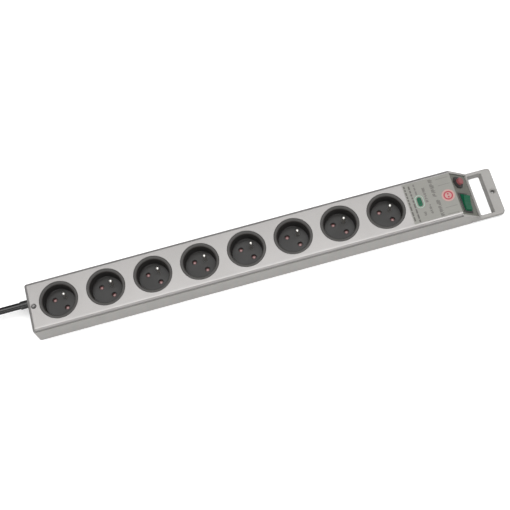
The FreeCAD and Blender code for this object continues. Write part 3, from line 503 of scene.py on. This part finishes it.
def make_world():
    """White above and in front, greyer low down behind; plain white where the camera sees it."""
    world = bpy.data.worlds.new("studio")
    bpy.context.scene.world = world
    world.use_nodes = True
    tree = world.node_tree
    tree.nodes.clear()
    out = tree.nodes.new("ShaderNodeOutputWorld")
    sky = tree.nodes.new("ShaderNodeBackground")
    plain = tree.nodes.new("ShaderNodeBackground")
    pick = tree.nodes.new("ShaderNodeMixShader")
    path = tree.nodes.new("ShaderNodeLightPath")
    coord = tree.nodes.new("ShaderNodeTexCoord")
    parts = tree.nodes.new("ShaderNodeSeparateXYZ")
    lean = tree.nodes.new("ShaderNodeMath")
    lean.operation = "MULTIPLY_ADD"
    lean.inputs[1].default_value = SKY_LEAN
    span = tree.nodes.new("ShaderNodeMapRange")
    for end, source, target in zip(("Min", "Max"), SKY_FROM, SKY_TO):
        span.inputs["From " + end].default_value = source
        span.inputs["To " + end].default_value = target
    tree.links.new(coord.outputs["Generated"], parts.inputs[0])
    tree.links.new(parts.outputs["Y"], lean.inputs[0])
    tree.links.new(parts.outputs["Z"], lean.inputs[2])
    tree.links.new(lean.outputs[0], span.inputs["Value"])
    tree.links.new(span.outputs[0], sky.inputs["Strength"])
    plain.inputs["Strength"].default_value = 1.0
    tree.links.new(path.outputs["Is Camera Ray"], pick.inputs[0])
    tree.links.new(sky.outputs[0], pick.inputs[1])
    tree.links.new(plain.outputs[0], pick.inputs[2])
    tree.links.new(pick.outputs[0], out.inputs["Surface"])


def make_floor():
    """White paper that gives less light back to the object than the camera sees."""
    half = FLOOR_HALF
    mesh = bpy.data.meshes.new("floor")
    mesh.from_pydata([(-half, -half, 0), (half, -half, 0), (half, half, 0), (-half, half, 0)],
                     [], [(0, 1, 2, 3)])
    floor = bpy.data.objects.new("floor", mesh)
    bpy.context.scene.collection.objects.link(floor)
    floor.location.z = cad_box[0].z - FLOOR_GAP
    s = Shader("floor_paper")
    paper = s.mix(s.ramp(s.noise(0.3), 0, 1, 0.3, 0.7), *PAPER)
    seen = s.tree.nodes.new("ShaderNodeLightPath").outputs["Is Camera Ray"]
    base = s.mix(seen, PAPER_BOUNCE, paper)
    s.set(Base_Color=base, Roughness=0.9, Specular_IOR_Level=0.1, Emission_Color=(1, 1, 1),
          Emission_Strength=s.maths("MULTIPLY", seen, PAPER_GLOW))
    mesh.materials.append(s.material)


def make_studio():
    bpy.context.scene.view_settings.view_transform = "Standard"
    make_world()
    make_floor()
    area_light("overhead", *OVERHEAD)
    area_light("front_fill", *FRONT_FILL)


# ---- print on the label -------------------------------------------------------------------
INK_DEPTH = 0.03 * MM
LABEL_MID_Y = (LABEL[0].y + LABEL[1].y) / 2

# Rows of print, in millimetres: distance from the label's left edge, height of the marks, and
# where the row starts and ends, measured across the label from its middle.
DARK_DASHES = ((2.0, 2.0, 25.5, -26), (7.6, 2.1, 24, -26.5))
GREY_DASHES = ((14.0, 2.1, 25, 9),)
STROKES = ((24.0, 3.4, 17, -3), (25.6, 3.0, -7, -19), (17.0, 3.2, -15, -20),
           (35.4, 5.0, 25.5, 1), (37.0, 4.6, -4, -26.5))
LINES_Y = (23.4, 14.4, -16.8, -26.0)
LINES_X = (43, 58.5)
LINE_HALF = 0.25
MARK = (51.5, -1.5)         # centre of the round mark
DISC_R = 8.2
SIGN_RING = (6.0, 4.2)
SIGN_HOLE_R = 1.2
SIGN_HOLE_Y = 2.0
LENS_BORDER = (0.28, 1.0)   # near and far side of the band round the indicator

DASH_LENGTH = (2.5, 7.0)
DASH_SHORTEST = 1.0
DASH_GAP = 1.2
WORD_STROKES = (4, 8)
STROKE_WIDTH = 0.7
STROKE_STEP = 1.1
WORD_GAP = 0.9

INK = {
    "dark": ink("ink_dark", (0.085, 0.08, 0.072)),
    "grey": ink("ink_grey", (0.125, 0.12, 0.11)),
    "red": ink("ink_red", (0.33, 0.035, 0.055)),
    "pink": ink("ink_pink", (0.40, 0.24, 0.22)),
    "mint": ink("ink_mint", (0.27, 0.42, 0.33)),
}


def on_label(x, y):
    """Millimetres from the label's left edge and from its middle, turned into a place."""
    return LABEL[0].x + x * MM, LABEL_MID_Y + y * MM


def slab(bm, x_span, y_span):
    """A thin block of ink lying on the label, its spans in the label's millimetres."""
    low_x, low_y = on_label(x_span[0], y_span[0])
    high_x, high_y = on_label(x_span[1], y_span[1])
    z = LABEL[1].z
    low = [bm.verts.new((x, y, z)) for x, y in
           ((low_x, low_y), (high_x, low_y), (high_x, high_y), (low_x, high_y))]
    top = [bm.verts.new((v.co.x, v.co.y, z + INK_DEPTH)) for v in low]
    bm.faces.new(low[::-1])
    bm.faces.new(top)
    bridge(bm, low, top)


def bridge(bm, first, second):
    """Faces between two closed loops of the same length."""
    for i in range(len(first)):
        j = (i + 1) % len(first)
        bm.faces.new((first[i], first[j], second[j], second[i]))


def band(bm, low_out, top_out, low_in, top_in):
    """Closes a flat band of ink between an outer and an inner outline."""
    bridge(bm, low_out, top_out)
    bridge(bm, top_out, top_in)
    bridge(bm, top_in, low_in)
    bridge(bm, low_in, low_out)


def circle(bm, x, y, z, radius, steps):
    turns = [2 * math.pi * i / steps for i in range(steps)]
    return [bm.verts.new((x + radius * math.cos(a), y + radius * math.sin(a), z)) for a in turns]


def ring(bm, x, y, outer, inner, steps=48, level=0):
    """A flat ring of ink, or a disc where inner is 0; level 1 lies on top of another print."""
    z = LABEL[1].z + level * INK_DEPTH
    loops = [circle(bm, x, y, height, radius * MM, steps)
             for radius in ([outer, inner] if inner else [outer])
             for height in (z, z + INK_DEPTH)]
    if inner:
        band(bm, *loops)
    else:
        low, top = loops
        bm.faces.new(low[::-1])
        bm.faces.new(top)
        bridge(bm, low, top)


def stadium(bm, box, z, gap, steps=12):
    """Outline with half-round ends, gap metres outside a box seen from above."""
    low, high = box
    mid = (low + high) / 2
    radius = (high.x - low.x) / 2
    reach = (high.y - low.y) / 2 - radius
    loop = []
    for end, centre in enumerate((mid.y + reach, mid.y - reach)):
        for i in range(steps + 1):
            turn = math.pi * (end + i / steps)
            loop.append(bm.verts.new((mid.x + (radius + gap) * math.cos(turn),
                                      centre + (radius + gap) * math.sin(turn), z)))
    return loop


def lens_border(bm):
    """A flat band of ink round the indicator's window."""
    near, far = LENS_BORDER
    z = LABEL[1].z
    band(bm, *(stadium(bm, LENS_WINDOW, height, gap * MM)
               for gap in (far, near) for height in (z, z + INK_DEPTH)))


def dash_row(bm, rng, x, thick, start, end):
    """A row of plain dashes across the label where a real one carries small print."""
    y = start
    while y > end:
        length = min(rng.uniform(*DASH_LENGTH), y - end)
        if length > DASH_SHORTEST:
            slab(bm, (x - thick / 2, x + thick / 2), (y - length, y))
        y -= length + DASH_GAP


def stroke_row(bm, rng, x, tall, start, end):
    """Words of a larger print, each only a run of short upright strokes of uneven height."""
    y = start
    while y > end:
        for _ in range(rng.randint(*WORD_STROKES)):
            low = rng.choice((0.0, 0.0, 0.35))
            high = rng.choice((1.0, 0.7, 1.0))
            slab(bm, (x + (low - 0.5) * tall, x + (high - 0.5) * tall), (y - STROKE_WIDTH, y))
            y -= STROKE_STEP
            if y < end:
                break
        y -= WORD_GAP


def printed(name, finish, draw):
    """Makes one piece of print that rides on the housing; draw adds its faces."""
    bm = bmesh.new()
    draw(bm)
    mesh = bpy.data.meshes.new(name)
    bm.to_mesh(mesh)
    bm.free()
    mesh.materials.append(finish)
    obj = bpy.data.objects.new(name, mesh)
    bpy.context.scene.collection.objects.link(obj)
    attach(obj, "housing")


def make_print():
    rng = random.Random(4)

    def rows(row, table):
        def draw(bm):
            for line in table:
                row(bm, rng, *line)
        return draw

    def lines(bm):
        for y in LINES_Y:
            slab(bm, LINES_X, (y - LINE_HALF, y + LINE_HALF))

    def socket_sign(bm):
        x, y = on_label(*MARK)
        ring(bm, x, y, *SIGN_RING, level=1)
        for side in (-1, 1):
            ring(bm, x, y + side * SIGN_HOLE_Y * MM, SIGN_HOLE_R, 0, 24, level=1)

    printed("print_dark_dashes", INK["dark"], rows(dash_row, DARK_DASHES))
    printed("print_grey_dashes", INK["grey"], rows(dash_row, GREY_DASHES))
    printed("print_strokes", INK["dark"], rows(stroke_row, STROKES))
    printed("print_grey_lines", INK["grey"], lines)
    printed("print_pale_disc", INK["pink"], lambda bm: ring(bm, *on_label(*MARK), DISC_R, 0))
    printed("print_socket_sign", INK["red"], socket_sign)
    printed("print_lens_border", INK["mint"], lens_border)


# ---- build --------------------------------------------------------------------------------
dress(slot_of_nodes())
make_print()
make_studio()
make_camera()
